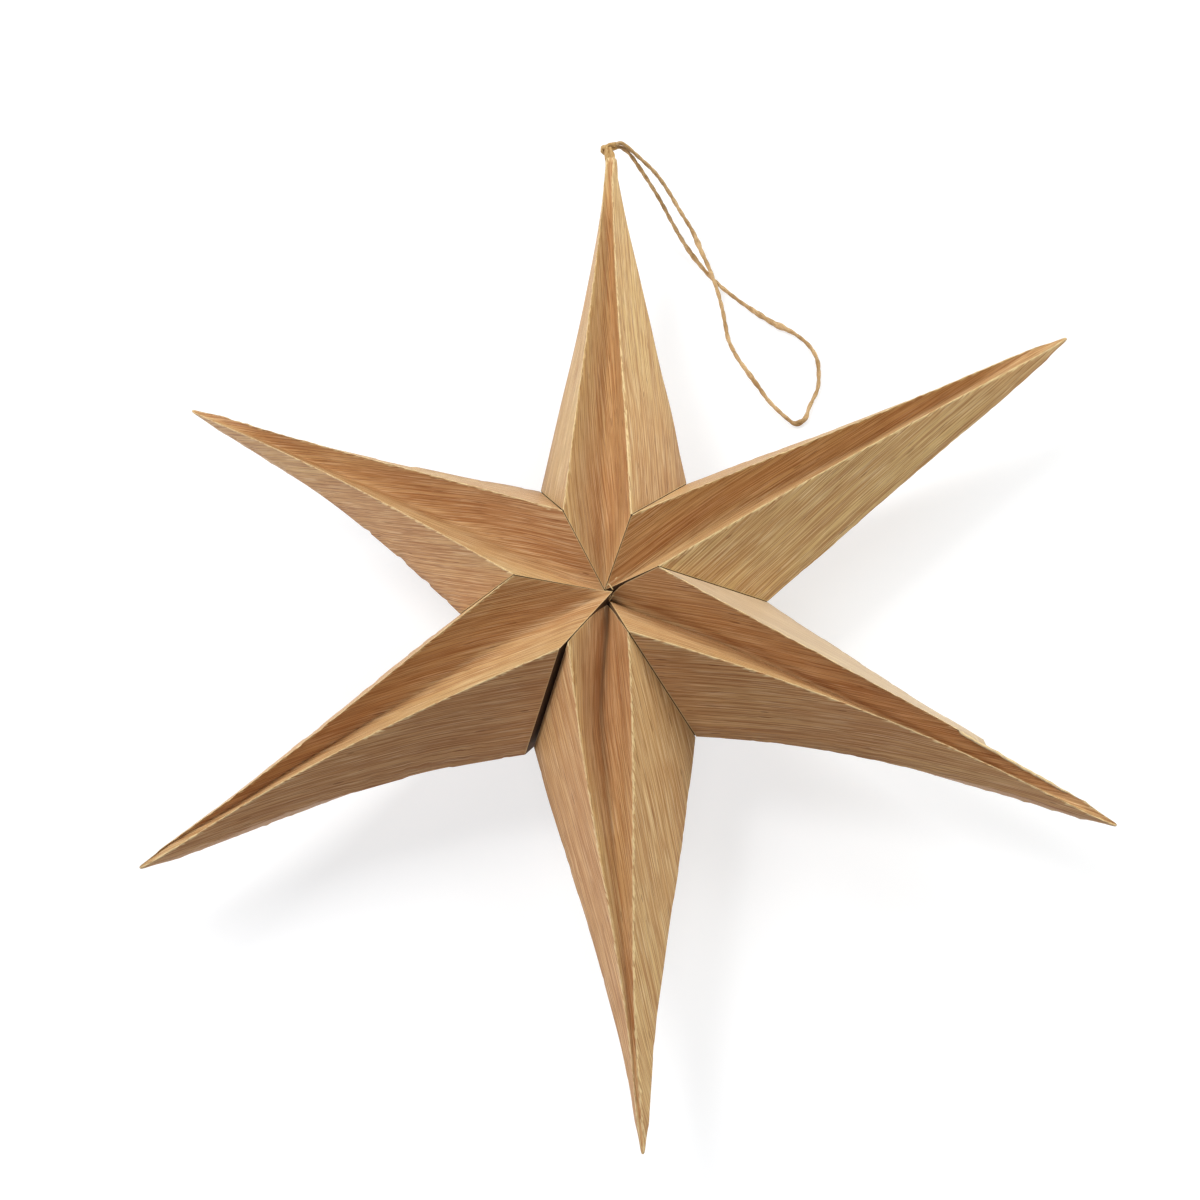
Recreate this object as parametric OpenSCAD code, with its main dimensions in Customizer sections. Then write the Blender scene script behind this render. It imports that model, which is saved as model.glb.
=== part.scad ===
// Hanging star folded from wood-veneer paper. Six gusseted arms are glued side by side
// round a hub line, the last joint is stuck shut with a foam pad, and a twine loop is
// knotted at the tip of the top arm. Millimetres, +Z up. The star lies on the corners of
// its back folds, with the origin on that surface below the hub line.

/* [Star] */
// Distance from the hub line to the blunt end of each arm
tip_radius = 150; // [110:1:200]
// Distance from the hub line to the waist corner between two arms
waist_radius = 44.5; // [38:0.5:56]
// Distance from the hub line to the corner where a ridge fold starts
ridge_radius = 20; // [16:0.5:26]
// Height of those ridge corners above the middle plane of the star
ridge_height = 27; // [22:0.5:36]
// Height of the hub hollow above the middle plane of the star
hub_height = 14; // [9:0.5:16]

/* [Folds] */
// How quickly the side creases die away towards the tip, 1 keeps them straight
crease_fade = 1.4; // [1.4:0.1:2]
// How much of the valley fold is a soft curve, 0 is a knife crease
valley_softness = 0.6; // [0:0.05:0.8]
// Share of the arm's length over which the hub crease turns into that soft curve
valley_run = 0.3; // [0.15:0.05:0.6]
// Width of the blunt tip
tip_width = 1.8; // [1.6:0.1:3]
// Height of the blunt tip
tip_height = 2.4; // [2:0.1:4]

/* [Paper] */
// Thickness of the veneer paper
paper = 0.5; // [0.3:0.05:0.7]
// Glue between two arms
glue_line = 0.2; // [0.1:0.05:0.4]
// Share of the arm that is hollow, the rest is layered paper pressed flat
hollow_share = 0.8; // [0.5:0.05:0.85]

/* [Closing joint] */
// Gap between the first and the last arm, where the opened star is stuck shut
closing_gap = 1; // [0.8:0.1:3]
// How far the last arm is slid outwards along that gap, past the first
closing_slip = 3; // [0:0.5:4]
// Side of the square foam pad in that gap
pad_side = 12; // [6:1:16]

/* [Twine] */
// Diameter of the twine
twine_d = 1.4; // [1:0.1:1.5]
// Width of the knot across its flats
knot_width = 3.8; // [3.7:0.1:5]
// Height of the knot
knot_height = 4.2; // [3.8:0.1:5.5]
// Distance from the blunt tip to the middle of the knot
knot_reach = 4.2; // [3:0.1:6]

/* [Hidden] */

arm_count = 6;
arm_step = 360 / arm_count;
closing_face = 3;

// The star was opened by hand, so joints and tips stray by these degrees from an even spread,
// and the joints lean sideways, their front edge turning with a positive angle
face_drift = [0, -0.5, 1.5, 0.5, -2.8, -1.6];
face_lean = [-2, 2, -1.5, 7, -0.5, -4];
tip_drift = [0.5, -0.5, 2.5, 3.5, -3, 0];

// Folded and glued by hand too: how far the ridge and waist corners of a joint stray outwards,
// and how deep the front valley of each arm sinks just at the hub
ridge_drift = [-0.3, -1.9, 0, 1.2, 1.8, 1.1];
waist_drift = [-1, -0.4, 0.8, 1.4, -0.7, -0.3];
hub_sink = [0, 0, 5, 3, 0, 0];

// Where the leaning joints cross at the hub line, one arm in front and one behind stops short
front_stop = [-2, -2, 1, -2, -2, -2];
back_stop = [-2, -2, -2, 1.2, -2, -2];
hub_clear = 1.4;

// Each side crease (left, right of its arm) fades a little differently, and each ridge (left,
// right) bows inwards a little on its way to the tip
fade_drift = [[-0.1, -0.5], [-0.3, -0.3], [-0.1, 0.5], [-0.5, -0.3], [0.5, -0.5], [0.5, -0.1]];
bow_drift = [[0.7, 0.7], [0.4, -0.4], [-0.8, 0.4], [2, 2], [0, 1.6], [0.8, 0.8]];

// The front ridges (left, right) pinch in further or spread, as shares of the arm's half width,
// the front valleys run off the middle by such shares, and one is pressed shallower to its tip
front_pinch = [[0, 0], [0, 0.38], [0, 1], [-0.45, -0.45], [0.75, 0], [0.4, 0]];
valley_stray = [0.12, 0.25, 0.18, -0.55, -0.15, -0.15];
valley_press = [0, 0, 0, 0.8, 0, 0];

// Joints and tips are numbered clockwise from the top, joint 0 follows arm 0
function face_angle(i) = 90 - arm_step * (i + 0.5) + face_drift[i];
function tip_angle(i) = 90 - arm_step * i + tip_drift[i];
function before(i) = (i + arm_count - 1) % arm_count;
function set_back(i) = (i == closing_face ? closing_gap : glue_line) / 2;

middle = ridge_height;
valley_raise = 0.08;
tip_dip = 0.4;
tip_bulge = 0.15;
tip_round = tip_width * tip_bulge;
pad_ease = 0.02;

function mix(a, b, t) = a * (1 - t) + b * t;
function unit(a) = a / norm(a);
function ease(t) = t >= 1 ? 1 : t * t * (3 - 2 * t);

// Clockwise face of an arm has side 1, the other face side -1, normals point into the arm
function face_of(i, side) = side > 0 ? i : before(i);
function face_normal(i, side) = let (a = face_angle(face_of(i, side))) side * [-sin(a), cos(a), 0];
function lean(i, side) = tan(face_lean[face_of(i, side)]);
function face_set(i, side) = set_back(face_of(i, side)) / cos(face_lean[face_of(i, side)]);
function slip(i, side) = face_of(i, side) == closing_face ? -side * closing_slip / 2 : 0;
function face_point(i, side, r, z) = let (a = face_angle(face_of(i, side)))
    [r * cos(a), r * sin(a), middle + z]
    + (face_set(i, side) + side * lean(i, side) * z) * face_normal(i, side);
function ridge_corner(i, side, up) = face_point(i, side,
    ridge_radius + ridge_drift[face_of(i, side)] + slip(i, side), up * ridge_height);
function waist_corner(i, side) = face_point(i, side,
    waist_radius + waist_drift[face_of(i, side)] + slip(i, side), 0);

// Hub edge of an arm, where its two glued faces meet or the arm stops short
function hub_point(i, z) = let (
        m = face_normal(i, 1),
        n = face_normal(i, -1),
        a = face_set(i, 1) + lean(i, 1) * z,
        b = face_set(i, -1) - lean(i, -1) * z,
        d = m.x * n.y - m.y * n.x,
        meet = [(a * n.y - b * m.y) / d, (m.x * b - n.x * a) / d, 0],
        ahead = [cos(tip_angle(i)), sin(tip_angle(i)), 0],
        stop = z > 0 ? front_stop[i] : back_stop[i])
    meet + max(stop - meet * ahead, 0) * ahead + [0, 0, middle + z];

function tip_point(i, across, z) = let (a = tip_angle(i))
    [tip_radius * cos(a) - across * sin(a), tip_radius * sin(a) + across * cos(a), middle + z];

// One point of the front (up 1) or back (up -1) groove, v runs from -1 to 1 across it
groove_steps = 4;
groove = [for (k = [-groove_steps : groove_steps]) k / groove_steps];
sink_width = 0.25;
function sink(i, up, v) = up > 0 ? hub_sink[i] * max(1 - abs(v) / sink_width, 0) : 0;
function groove_base(i, up, v) = mix(hub_point(i, up * hub_height),
    ridge_corner(i, v > 0 ? -1 : 1, up), abs(v)) - [0, 0, sink(i, up, v)];
function groove_tip(i, up, v) = tip_point(i, v * tip_width / 2,
    up * tip_height / 2 * mix(tip_dip, 1, abs(v)));
function groove_depth(u) = mix(ridge_height - hub_height, tip_height / 2 * (1 - tip_dip), u);
function groove_lift(u, v) = valley_softness * ease(u / valley_run) * groove_depth(u)
    * (mix(valley_raise, 1, v * v) - abs(v));
bow_peak = 2 / 3;
function leftward(i) = [-sin(tip_angle(i)), cos(tip_angle(i)), 0];
function bow(i, u, v) = bow_drift[i][v > 0 ? 0 : 1] * u * u * (1 - u)
    / (bow_peak * bow_peak * (1 - bow_peak));
function fold_point(i, up, u, v) = mix(groove_base(i, up, v), groove_tip(i, up, v), u)
    - v * bow(i, u, v) * leftward(i)
    + [0, 0, up * groove_lift(u, v)];

// The front groove's own pinch and stray sideways, and its press upwards
pinch_gain = 1.3;
pinch_end = 6;
stray_run = 0.25;
press_run = 0.9;
function half_width(i, u, v) = mix(abs((ridge_corner(i, v > 0 ? -1 : 1, 1) - hub_point(i, hub_height))
    * leftward(i)), tip_width / 2, u) - bow(i, u, v);
function pinch(i, u, v) = front_pinch[i][v > 0 ? 0 : 1] * pinch_gain * u * (1 - pow(u, pinch_end));
function stray(i, u, v) = valley_stray[i] * ease(u / stray_run) * (1 - abs(v));
function press(i, u, v) = valley_press[i] * ease(u / press_run)
    * (groove_depth(u) * (1 - abs(v)) - groove_lift(u, v) + (1 - u) * sink(i, 1, v));
function front_move(i, u, v) = half_width(i, u, v) * (stray(i, u, v) - v * pinch(i, u, v)) * leftward(i)
    + [0, 0, press(i, u, v)];
function groove_point(i, up, u, v) = fold_point(i, up, u, v) + (up > 0 ? front_move(i, u, v) : [0, 0, 0]);

// One point of the side crease, which starts at the waist and dies away
function side_point(i, side, u) = let (
        v = -side,
        fade = crease_fade + fade_drift[i][side > 0 ? 1 : 0],
        flat = (fold_point(i, 1, u, v) + fold_point(i, -1, u, v)) / 2,
        start = (fold_point(i, 1, 0, v) + fold_point(i, -1, 0, v)) / 2)
    flat + (waist_corner(i, side) - start) * pow(1 - u, fade)
    + u * tip_round * side * [sin(tip_angle(i)), -cos(tip_angle(i)), 0];

// A ring of an arm's skin: front groove, left side, back groove, right side
ring_count = 4 * groove_steps + 4;
function skin_ring(i, u) = concat(
    [for (v = groove) groove_point(i, 1, u, v)],
    [side_point(i, -1, u)],
    [for (v = groove) groove_point(i, -1, u, -v)],
    [side_point(i, 1, u)]);

station_count = 14;
station_crowding = 1.3;
stations = [for (k = [0 : station_count]) pow(k / station_count, station_crowding)];
function skin(i) = [for (u = stations) skin_ring(i, u)];

// Inner skin: every strip of the outer skin moved in by the paper's thickness
hollow_last = max([for (k = [0 : station_count]) if (stations[k] <= hollow_share) k]);
function next(j) = (j + 1) % ring_count;
function last(j) = (j + ring_count - 1) % ring_count;
function strip_normal(g, k, j) = let (
        lo = max(k - 1, 0),
        along = g[k + 1][j] - g[lo][j] + g[k + 1][next(j)] - g[lo][next(j)])
    unit(cross(g[k][next(j)] - g[k][j], along));
function moved_in(g, k, j) = let (
        m = strip_normal(g, k, last(j)),
        n = strip_normal(g, k, j))
    g[k][j] + paper * (m + n) / (1 + m * n);

// The first inner ring slides along the arm until it clears the glued faces by one paper, and
// by the hub clearance as well where the arm ends at the hub
front_mid = groove_steps;
back_mid = 3 * groove_steps + 2;
function hub_share(j) = max(1 - min(abs(j - front_mid), abs(j - back_mid)) / groove_steps, 0);
function face_gap(i, side, p) = p * face_normal(i, side) - side * lean(i, side) * (p.z - middle);
function slide(i, side, clear, p, q) = (face_set(i, side) + clear - face_gap(i, side, p))
    / (face_gap(i, side, q) - face_gap(i, side, p));
function on_right(j) = j <= front_mid || j >= back_mid;
function on_left(j) = j >= front_mid && j <= back_mid;
function inner_start(i, j, p, q) = let (
        sides = concat(on_right(j) ? [1] : [], on_left(j) ? [-1] : []),
        clear = paper + hub_clear * hub_share(j))
    p + max([for (side = sides) slide(i, side, clear, p, q)]) * (q - p);
function inner_skin(i) = let (
        g = skin(i),
        raw = [for (k = [0 : hollow_last]) [for (j = [0 : ring_count - 1]) moved_in(g, k, j)]])
    concat([[for (j = [0 : ring_count - 1]) inner_start(i, j, raw[0][j], raw[1][j])]],
        [for (k = [1 : hollow_last]) raw[k]]);

// Closed body between the rings: two glued faces at the start and a cap at the end.
// The faces fan out from the waist corner, the cap is a strip between front and back groove.
left_ridge = 2 * groove_steps;
left_waist = left_ridge + 1;
right_ridge = 4 * groove_steps + 2;
right_waist = ring_count - 1;
module ring_body(rings) {
    end = (len(rings) - 1) * ring_count;
    walls = [for (k = [0 : len(rings) - 2]) for (j = [0 : ring_count - 1])
        let (a = k * ring_count + j, b = k * ring_count + next(j))
        each [[a, b, b + ring_count], [a, b + ring_count, a + ring_count]]];
    left_edge = concat([for (j = [left_ridge : -1 : front_mid]) j],
        [for (j = [back_mid : -1 : left_waist + 1]) j]);
    right_edge = concat([for (j = [right_ridge : -1 : back_mid]) j],
        [for (j = [front_mid : -1 : 0]) j]);
    left_face = [for (k = [0 : len(left_edge) - 2]) [left_waist, left_edge[k], left_edge[k + 1]]];
    right_face = [for (k = [0 : len(right_edge) - 2]) [right_waist, right_edge[k], right_edge[k + 1]]];
    cap = [for (j = [0 : left_ridge - 1]) let (a = end + j, b = end + right_ridge - j)
        each [[a, a + 1, b - 1], [a, b - 1, b]]];
    cap_sides = [[end + left_ridge, end + left_waist, end + left_waist + 1],
        [end + right_ridge, end + right_waist, end]];
    polyhedron([for (r = rings) each r], concat(walls, left_face, right_face, cap, cap_sides));
}

module arm(i) {
    color("tan")
    difference() {
        ring_body(skin(i));
        ring_body(inner_skin(i));
    }
}

// Foam pad between the faces of the closing joint
module closing_pad() {
    color("white")
    translate([0, 0, middle])
    rotate([0, 0, face_angle(closing_face)])
    rotate([-face_lean[closing_face], 0, 0])
    translate([waist_radius / 2, 0, 0])
    cube([pad_side, closing_gap - pad_ease, pad_side], center = true);
}

// Knot: a lump with a neck that sits on the blunt tip
knot_middle = tip_point(0, 0, 0) + knot_reach * [cos(tip_angle(0)), sin(tip_angle(0)), 0];
knot_corners = 8;
barrel_share = 0.8;
core_share = 0.7;
neck_share = 0.9;
module twine_knot() {
    half_corner = 180 / knot_corners;
    across_corners = knot_width / cos(half_corner);
    color("peru")
    translate(knot_middle)
    rotate([0, 0, tip_drift[0]])
    hull() {
        rotate([0, 0, half_corner])
        cylinder(d = across_corners, h = knot_height * barrel_share, center = true, $fn = knot_corners);
        cylinder(d = knot_width * core_share, h = knot_height, center = true, $fn = knot_corners);
        translate([0, -knot_reach / 2, 0])
        cube([tip_width * neck_share, knot_reach, tip_height * neck_share], center = true);
    }
}

// Twine route: out of the knot, down to the table, round the loop and back into the knot
lie = twine_d / 2;
crossing_gap = 0.3;
over = lie + twine_d + crossing_gap;
exit_gap = 0.15;
exit_spread = 0.56;
exit_x = knot_middle.x + knot_width / 2 + exit_gap;
exit_up = middle + twine_d * exit_spread;
exit_down = middle - twine_d * exit_spread;
route = [
    [exit_x, knot_middle.y, exit_up],
    [exit_x + 2, knot_middle.y + 0.2, exit_up - 0.2],
    [5.5, 153.5, 25.5],
    [8, 152, 23],
    [11, 149.5, 19],
    [14, 146, 13.5],
    [17.5, 140.5, 8],
    [20.5, 135.5, 5],
    [23, 129, 3.5],
    [25.5, 122.5, over],
    [27.5, 116, over],
    [29, 109.5, 1.5],
    [30, 103, lie],
    [31, 97.5, lie],
    [33.5, 91.5, lie],
    [37, 85.5, lie],
    [40, 80.5, lie],
    [43, 75.5, lie],
    [48.5, 69, lie],
    [51, 67.5, lie],
    [53.5, 69, lie],
    [55, 73, lie],
    [57.5, 78.5, lie],
    [58, 84, lie],
    [57.5, 89, lie],
    [55, 94, lie],
    [50.5, 98.5, lie],
    [44.5, 102.5, lie],
    [38.5, 107.5, lie],
    [32.5, 113, lie],
    [26.5, 119.5, lie],
    [21.5, 126.5, 0.8],
    [17.5, 133, 2],
    [14.5, 138.5, 5],
    [12, 143, 9.5],
    [9.5, 146.5, 15],
    [7, 149.5, 20],
    [4.5, 152.5, 24],
    [exit_x + 1.6, knot_middle.y - 0.2, exit_down - 0.3],
    [exit_x, knot_middle.y, exit_down]
];

// Smooth line through the route with one extra point in each gap
function through(a, b, c, d) = (9 * (b + c) - a - d) / 16;
route_end = len(route) - 1;
twine_line = concat([for (k = [0 : route_end - 1]) each [route[k],
    through(route[max(k - 1, 0)], route[k], route[k + 1], route[min(k + 2, route_end)])]],
    [route[route_end]]);
twine_sides = 8;
function heading(line, k) = unit(line[min(k + 1, len(line) - 1)] - line[max(k - 1, 0)]);
function twine_ring(line, k) = let (
        t = heading(line, k),
        s = unit(cross(t, [0, 0, 1])),
        w = cross(s, t))
    [for (q = [0 : twine_sides - 1]) let (a = 360 / twine_sides * (q + 0.5))
        line[k] + twine_d / 2 * (cos(a) * s + sin(a) * w)];
module twine_loop() {
    n = len(twine_line);
    walls = [for (k = [0 : n - 2]) for (q = [0 : twine_sides - 1]) for (t = [0, 1])
        let (p = (q + 1) % twine_sides)
        t == 0
            ? [k * twine_sides + q, (k + 1) * twine_sides + p, k * twine_sides + p]
            : [k * twine_sides + q, (k + 1) * twine_sides + q, (k + 1) * twine_sides + p]];
    start = [for (q = [0 : twine_sides - 1]) q];
    end = [for (q = [twine_sides - 1 : -1 : 0]) (n - 1) * twine_sides + q];
    color("peru")
    polyhedron([for (k = [0 : n - 1]) each twine_ring(twine_line, k)], concat(walls, [start, end]));
}

arm(0);  // arm_top
arm(1);  // arm_upper_right
arm(2);  // arm_lower_right
arm(3);  // arm_bottom
arm(4);  // arm_lower_left
arm(5);  // arm_upper_left
closing_pad();
twine_knot();
twine_loop();
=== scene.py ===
import math
import random
import bmesh
import bpy
import numpy as np
from mathutils import Matrix, Vector, noise


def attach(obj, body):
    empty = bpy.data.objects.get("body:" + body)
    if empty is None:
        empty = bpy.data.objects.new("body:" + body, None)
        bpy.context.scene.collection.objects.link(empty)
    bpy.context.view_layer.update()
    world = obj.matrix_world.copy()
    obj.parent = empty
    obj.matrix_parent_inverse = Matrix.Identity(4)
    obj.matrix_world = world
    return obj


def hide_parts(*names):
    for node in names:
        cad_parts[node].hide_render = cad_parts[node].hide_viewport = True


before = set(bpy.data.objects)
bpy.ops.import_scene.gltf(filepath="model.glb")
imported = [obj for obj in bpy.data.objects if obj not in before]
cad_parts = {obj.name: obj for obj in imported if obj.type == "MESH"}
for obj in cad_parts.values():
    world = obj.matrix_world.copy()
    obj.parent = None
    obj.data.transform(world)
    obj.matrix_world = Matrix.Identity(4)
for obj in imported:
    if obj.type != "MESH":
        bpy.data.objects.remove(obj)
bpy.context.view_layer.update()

scene = bpy.context.scene
scene.view_settings.view_transform = "Standard"
mm = 0.001  # the star is worked out in millimetres, as its folds are measured


def toLinear(hexColour, alpha=1.0):
    channels = [int(hexColour[k:k + 2], 16) / 255 for k in (1, 3, 5)]
    return [c / 12.92 if c <= 0.04045 else ((c + 0.055) / 1.055) ** 2.4 for c in channels] + [alpha]


def addNode(tree, kind, values=None, links=None, **settings):
    node = tree.nodes.new(kind)
    for name, value in settings.items():
        setattr(node, name, value)
    for socket, value in (values or {}).items():
        node.inputs[socket].default_value = value
    for socket, source in (links or {}).items():
        tree.links.new(source, node.inputs[socket])
    return node


def newMaterial(name):
    material = bpy.data.materials.new(name)
    material.use_nodes = True
    material.node_tree.nodes.clear()
    return material, material.node_tree


def addPiece(mesh, name, *materials):
    data = bpy.data.meshes.new(name)
    mesh.to_mesh(data)
    mesh.free()
    for material in materials:
        data.materials.append(material)
    piece = bpy.data.objects.new(name, data)
    scene.collection.objects.link(piece)
    return piece


def mixed(a, b, t):
    return a * (1 - t) + b * t


def eased(t):
    t = min(max(t, 0), 1)
    return t * t * (3 - 2 * t)


# camera, found by lining the star's corners up with the photograph
viewPoint = {
    "place": (110.9, -239.2, 598.3),  # mm
    "target": (-3.2, 3.6, 27.0),  # mm
    "roll": 0.48,  # degrees
    "lens": 67.34,  # mm
    "sensor": 36,  # mm wide
    "nearest": 50,  # mm, where the view begins
}


def makeCamera(view):
    place = Vector(view["place"])
    back = (place - Vector(view["target"])).normalized()
    right = Vector((0, 1, 0)).cross(back).normalized()
    up = back.cross(right)
    turn = Matrix((right, up, back)).transposed() @ Matrix.Rotation(math.radians(view["roll"]), 3, "Z")
    data = bpy.data.cameras.new("photoView")
    data.lens = view["lens"]
    data.sensor_width = view["sensor"]
    data.clip_start = view["nearest"] * mm
    camera = bpy.data.objects.new("photoView", data)
    camera.matrix_world = Matrix.Translation(place * mm) @ turn.to_4x4()
    scene.collection.objects.link(camera)
    scene.camera = camera


makeCamera(viewPoint)
print("camera set")

# the folded star: driving sizes in mm, as in the CAD source unless a note says otherwise
star = {
    "tipRadius": 150,
    "waistRadius": 44.5,
    "ridgeRadius": 20,
    "ridgeHeight": 27,
    "hubHeight": 14,
    "glueLine": 0.2,
    "closingGap": 1.0,
    "closingSlip": 3,
    "closingFace": 3,
    "tipWidth": 1.8,
    "tipHeight": 2.4,
    "tipDip": 0.4,
    "tipBulge": 0.15,
    "creaseFade": 1.4,
    "valleySoftness": 0.8,  # 0.6 in the CAD
    "valleyRun": 0.2,  # 0.3 in the CAD
    "valleyRaise": 0.08,
    "bowPeak": 2 / 3,
    "pinchGain": 1.3,
    "pinchEnd": 6,
    "strayRun": 0.25,
    "pressRun": 0.9,
    "sinkWidth": 0.4,  # 0.25 in the CAD
}
armNames = ["arm_top", "arm_upper_right", "arm_lower_right", "arm_bottom", "arm_lower_left",
            "arm_upper_left"]
armCount = len(armNames)
armPitch = 360 / armCount  # degrees
middle = star["ridgeHeight"]

# how far the hand-opened star strays from an even one, clockwise from the top; pairs are left and right
stray = {
    "face": [0, -0.5, 1.5, 0.5, -2.8, -1.6],  # degrees
    "lean": [-2, 2, -1.5, 7, -0.5, -4],  # degrees
    "tip": [0.5, -0.5, 2.5, 3.5, -3, 0],  # degrees
    "ridge": [-0.3, -1.9, 0, 1.2, 1.8, 1.1],  # mm
    "waist": [-1, -0.4, 0.8, 1.4, -0.7, -0.3],  # mm
    "hubSink": [0, 0, 5, 3, 0, 0],  # mm, front valley at the hub
    "frontStop": [-2, -2, 1, -2, -2, -2],  # mm from the hub line
    "backStop": [-2, -2, -2, 1.2, -2, -2],  # mm
    "fade": [(-0.1, -0.5), (-0.3, -0.3), (-0.1, 0.5), (-0.5, -0.3), (0.5, -0.5), (0.5, -0.1)],
    "bow": [(0.7, 0.7), (0.4, -0.4), (-0.8, 0.4), (2, 2), (0, 1.6), (0.8, 0.8)],  # mm
    "pinch": [(0, 0), (0, 0.38), (0, 1), (-0.45, -0.45), (0.75, 0), (0.4, 0)],  # shares of half the width
    "valley": [0.12, 0.25, 0.18, -0.55, -0.15, -0.15],
    "valleyFar": [0, 0, 0, 0, -0.6, 0],  # more of the same towards the tip, not in the CAD
    "press": [0, 0, 0, 0.8, 0, 0],  # share of the groove's depth pressed out
}


def faceOf(arm, side):
    return arm if side > 0 else (arm - 1) % armCount


def faceAngle(face):
    return math.radians(90 - armPitch * (face + 0.5) + stray["face"][face])


def tipAngle(arm):
    return math.radians(90 - armPitch * arm + stray["tip"][arm])


def faceLean(arm, side):
    return math.radians(stray["lean"][faceOf(arm, side)])


def faceSet(arm, side):
    gap = star["closingGap"] if faceOf(arm, side) == star["closingFace"] else star["glueLine"]
    return gap / 2 / math.cos(faceLean(arm, side))


def faceSlip(arm, side):
    return -side * star["closingSlip"] / 2 if faceOf(arm, side) == star["closingFace"] else 0


def faceNormal(arm, side):
    a = faceAngle(faceOf(arm, side))
    return side * np.array([-math.sin(a), math.cos(a), 0])


def faceShift(arm, side, height):
    # how far a leaning joint face stands off the line between its arms
    return faceSet(arm, side) + side * math.tan(faceLean(arm, side)) * height


def facePoint(arm, side, radius, height):
    a = faceAngle(faceOf(arm, side))
    flat = np.array([radius * math.cos(a), radius * math.sin(a), middle + height])
    return flat + faceShift(arm, side, height) * faceNormal(arm, side)


def ridgeCorner(arm, side, up):
    radius = star["ridgeRadius"] + stray["ridge"][faceOf(arm, side)] + faceSlip(arm, side)
    return facePoint(arm, side, radius, up * star["ridgeHeight"])


def waistCorner(arm, side):
    radius = star["waistRadius"] + stray["waist"][faceOf(arm, side)] + faceSlip(arm, side)
    return facePoint(arm, side, radius, 0)


def headingOf(arm):
    return np.array([math.cos(tipAngle(arm)), math.sin(tipAngle(arm)), 0])


def leftOf(arm):
    return np.array([-math.sin(tipAngle(arm)), math.cos(tipAngle(arm)), 0])


def hubPoint(arm, height):
    normals = np.array([faceNormal(arm, side)[:2] for side in (1, -1)])
    shifts = [faceShift(arm, side, height) for side in (1, -1)]
    meet = np.append(np.linalg.solve(normals, shifts), 0)
    ahead = headingOf(arm)
    stop = stray["frontStop" if height > 0 else "backStop"][arm]
    return meet + max(stop - meet @ ahead, 0) * ahead + np.array([0, 0, middle + height])


def tipPoint(arm, across, height):
    return star["tipRadius"] * headingOf(arm) + across * leftOf(arm) + np.array([0, 0, middle + height])


def bowOf(arm, u, v):
    peak = star["bowPeak"]
    return stray["bow"][arm][0 if v > 0 else 1] * u * u * (1 - u) / (peak * peak * (1 - peak))


def hubSink(arm, v):
    return stray["hubSink"][arm] * max(1 - abs(v) / star["sinkWidth"], 0) ** 2


def grooveDepth(u):
    return mixed(star["ridgeHeight"] - star["hubHeight"], star["tipHeight"] / 2 * (1 - star["tipDip"]), u)


def grooveLift(u, v):
    curve = mixed(star["valleyRaise"], 1, v * v) - abs(v)
    return star["valleySoftness"] * eased(u / star["valleyRun"]) * grooveDepth(u) * curve


def foldPoint(arm, up, u, v):
    # u runs from the joint faces to the tip, v from the right ridge at -1 to the left one at 1
    side = -1 if v > 0 else 1
    sink = hubSink(arm, v) if up > 0 else 0
    base = mixed(hubPoint(arm, up * star["hubHeight"]), ridgeCorner(arm, side, up), abs(v))
    base = base - np.array([0, 0, sink])
    dip = star["tipDip"]
    tip = tipPoint(arm, v * star["tipWidth"] / 2, up * star["tipHeight"] / 2 * mixed(dip, 1, abs(v)))
    lift = np.array([0, 0, up * grooveLift(u, v)])
    return mixed(base, tip, u) - v * bowOf(arm, u, v) * leftOf(arm) + lift


def halfWidth(arm, u, v):
    reach = ridgeCorner(arm, -1 if v > 0 else 1, 1) - hubPoint(arm, star["hubHeight"])
    return mixed(abs(reach @ leftOf(arm)), star["tipWidth"] / 2, u) - bowOf(arm, u, v)


def groovePoint(arm, up, u, v):
    point = foldPoint(arm, up, u, v)
    if up < 0:
        return point
    pinch = stray["pinch"][arm][0 if v > 0 else 1] * star["pinchGain"] * u * (1 - u ** star["pinchEnd"])
    wander = stray["valley"][arm] * eased(u / star["strayRun"]) + stray["valleyFar"][arm] * u
    wander *= 1 - abs(v)
    drop = grooveDepth(u) * (1 - abs(v)) - grooveLift(u, v) + (1 - u) * hubSink(arm, v)
    press = np.array([0, 0, stray["press"][arm] * eased(u / star["pressRun"]) * drop])
    return point + halfWidth(arm, u, v) * (wander - v * pinch) * leftOf(arm) + press


def creasePoint(arm, side, u):
    flat = (foldPoint(arm, 1, u, -side) + foldPoint(arm, -1, u, -side)) / 2
    start = (foldPoint(arm, 1, 0, -side) + foldPoint(arm, -1, 0, -side)) / 2
    fade = star["creaseFade"] + stray["fade"][arm][1 if side > 0 else 0]
    bulge = u * star["tipBulge"] * star["tipWidth"] * -side * leftOf(arm)
    return flat + (waistCorner(arm, side) - start) * (1 - u) ** fade + bulge


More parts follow.
